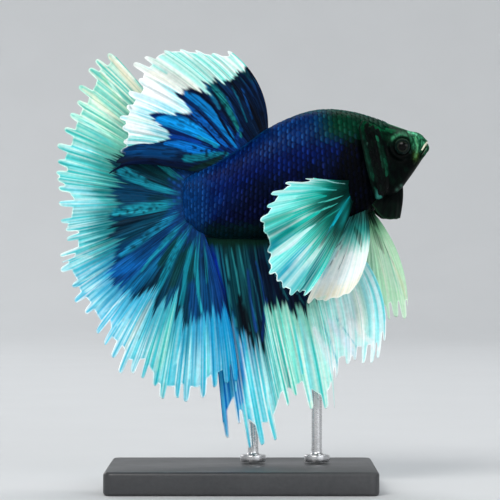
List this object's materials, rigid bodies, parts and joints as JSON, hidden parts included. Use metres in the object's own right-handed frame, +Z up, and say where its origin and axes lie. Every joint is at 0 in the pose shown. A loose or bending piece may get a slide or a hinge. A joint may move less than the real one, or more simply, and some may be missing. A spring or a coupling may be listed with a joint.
{
  "type": "betta fish model on a stand",
  "caption": "Life-size still model of a flaring halfmoon betta with spread fins and big pectorals, held over a flat base by two short rods.",
  "frame": {"origin": "centre of the model's footprint, on the underside of the stand's base", "axes": "+X towards the fish's head, +Y towards its left flank, +Z up"},
  "size_m": [0.0642, 0.034, 0.0752],
  "materials": {
    "hide": "satin scales, dark blue",
    "face": "satin, black green",
    "eye": "wet gloss, black",
    "fin_blue": "satin rayed membrane, navy and teal with a pale edge",
    "fin_pale": "satin rayed membrane, white and aqua over teal",
    "stand_base": "satin charcoal paint",
    "stand_rod": "fine brushed"
  },
  "bodies": {
    "root": {"head": "face", "trunk": "hide", "tail_stalk": "hide", "eye_right": "eye", "eye_left": "eye", "gill_cover_right": "face", "gill_cover_left": "face", "gill_membrane": "face", "dorsal_fin": "fin_blue", "caudal_fin": "fin_pale", "anal_fin": "fin_blue", "pectoral_fin_right": "fin_pale", "pectoral_fin_left": "fin_pale", "pelvic_fin_right": "fin_pale", "pelvic_fin_left": "fin_pale", "stand_base": "stand_base", "stand_rod_front": "stand_rod", "stand_rod_rear": "stand_rod"}
  },
  "joints": []
}
